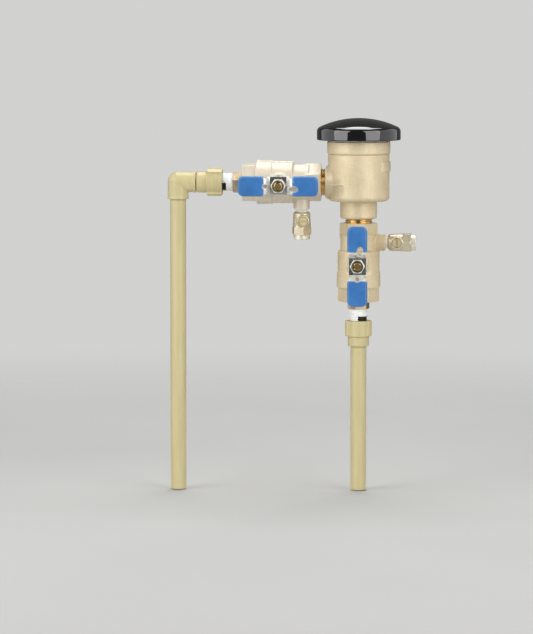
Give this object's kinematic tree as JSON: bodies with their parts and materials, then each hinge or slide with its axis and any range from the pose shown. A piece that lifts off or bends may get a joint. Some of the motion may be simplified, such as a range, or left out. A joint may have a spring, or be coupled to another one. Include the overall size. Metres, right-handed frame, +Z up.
{
  "type": "backflow preventer",
  "caption": "Pressure vacuum breaker for an irrigation line: cast bronze body under a domed canopy, with an inlet and an outlet ball valve, test cocks and plastic risers.",
  "frame": {"origin": "centre of the inlet riser's cut lower end", "axes": "+Z up along the inlet riser and the body's axis; the handles and the test cocks' slots face -Y; the outlet leaves towards -X and turns down"},
  "size_m": [0.2482, 0.0834, 0.3721],
  "materials": {
    "cast_bronze": "sand-cast bronze, fine grain, dull",
    "cock_bronze": "satin cast bronze, machined edges",
    "yellow_brass": "machined yellow brass, bright",
    "hex_brass": "dull machined brass",
    "tan_cpvc": "tan moulded plastic, slight sheen",
    "white_tape": "soft white thread tape",
    "white_ptfe": "machined white PTFE",
    "blue_vinyl": "dipped blue vinyl, soft gloss",
    "plated_steel": "zinc-plated pressed steel",
    "black_steel": "oiled black steel, threaded",
    "ball_chrome": "polished chrome plate",
    "white_plastic": "off-white engineering plastic",
    "black_gloss_plastic": "black moulded plastic, high gloss",
    "black_rubber": "black rubber",
    "stainless": "stainless steel"
  },
  "bodies": {
    "plumbing": {"pvb_body": "cast_bronze", "bonnet": "white_plastic", "bonnet_o_ring": "black_rubber", "check_spring": "stainless", "air_inlet_spring": "stainless", "inlet_close_nipple": "yellow_brass", "outlet_close_nipple": "yellow_brass", "inlet_valve_body": "cast_bronze", "inlet_valve_tailpiece": "cast_bronze", "inlet_valve_seats": "white_ptfe", "inlet_valve_packing": "white_ptfe", "inlet_valve_packing_nut": "yellow_brass", "outlet_valve_body": "cast_bronze", "outlet_valve_tailpiece": "cast_bronze", "outlet_valve_seats": "white_ptfe", "outlet_valve_packing": "white_ptfe", "outlet_valve_packing_nut": "yellow_brass", "inlet_cock_body": "cock_bronze", "inlet_cock_outlet_insert": "yellow_brass", "inlet_cock_thread_tape": "white_tape", "outlet_cock_body": "cock_bronze", "outlet_cock_outlet_insert": "yellow_brass", "outlet_cock_thread_tape": "white_tape", "inlet_reducer": "hex_brass", "outlet_reducer": "hex_brass", "inlet_small_nipple": "black_steel", "outlet_small_nipple": "black_steel", "inlet_thread_tape": "white_tape", "outlet_thread_tape": "white_tape", "inlet_adapter": "tan_cpvc", "outlet_adapter": "tan_cpvc", "outlet_stub_pipe": "tan_cpvc", "outlet_elbow": "tan_cpvc", "outlet_riser": "tan_cpvc", "inlet_riser": "tan_cpvc"},
    "canopy": {"canopy": "black_gloss_plastic"},
    "check": {"check_poppet": "white_plastic", "check_seal": "black_rubber", "check_seal_screw": "stainless"},
    "air_inlet": {"air_inlet_poppet": "white_plastic", "air_inlet_seal": "black_rubber", "air_inlet_retainer": "stainless", "air_inlet_stem_clip": "stainless"},
    "inlet_valve_plug": {"inlet_valve_ball": "ball_chrome", "inlet_valve_stem": "yellow_brass", "inlet_valve_handle": "plated_steel", "inlet_valve_grips": "blue_vinyl", "inlet_valve_handle_nut": "plated_steel"},
    "inlet_cock_plug": {"inlet_cock_rotor": "yellow_brass", "inlet_cock_rotor_seals": "black_rubber", "inlet_cock_rotor_clip": "stainless"},
    "outlet_valve_plug": {"outlet_valve_ball": "ball_chrome", "outlet_valve_stem": "yellow_brass", "outlet_valve_handle": "plated_steel", "outlet_valve_grips": "blue_vinyl", "outlet_valve_handle_nut": "plated_steel"},
    "outlet_cock_plug": {"outlet_cock_rotor": "yellow_brass", "outlet_cock_rotor_seals": "black_rubber", "outlet_cock_rotor_clip": "stainless"}
  },
  "joints": [
    {"name": "inlet_valve_turn", "type": "hinge", "parent": "plumbing", "child": "inlet_valve_plug", "pos_m": [0, 0, 0.2264], "axis": [0, 1, 0], "range_deg": [0, 90]},
    {"name": "outlet_valve_turn", "type": "hinge", "parent": "plumbing", "child": "outlet_valve_plug", "pos_m": [-0.0786, 0, 0.308], "axis": [0, 0.9982, 0.0593], "range_deg": [0, 90]},
    {"name": "inlet_cock_turn", "type": "hinge", "parent": "plumbing", "child": "inlet_cock_plug", "pos_m": [0.0383, 0, 0.2482], "axis": [0, -1, 0], "range_deg": [0, 90]},
    {"name": "outlet_cock_turn", "type": "hinge", "parent": "plumbing", "child": "outlet_cock_plug", "pos_m": [-0.0568, 0.00227, 0.26977], "axis": [0.2079, -0.9764, -0.058], "range_deg": [0, 90]},
    {"name": "check_lift", "type": "slide", "parent": "plumbing", "child": "check", "axis": [0, 0, 1], "range_m": [0, 0.006], "stiffness_N_per_m": 200, "springref_m": -0.01, "deforming": ["check_spring"]},
    {"name": "air_inlet_lift", "type": "slide", "parent": "plumbing", "child": "air_inlet", "axis": [0, 0, 1], "range_m": [0, 0.007], "stiffness_N_per_m": 60, "springref_m": -0.006, "deforming": ["air_inlet_spring"]},
    {"name": "canopy_lift", "type": "slide", "parent": "plumbing", "child": "canopy", "axis": [0, 0, 1], "range_m": [0, 0.06]}
  ]
}
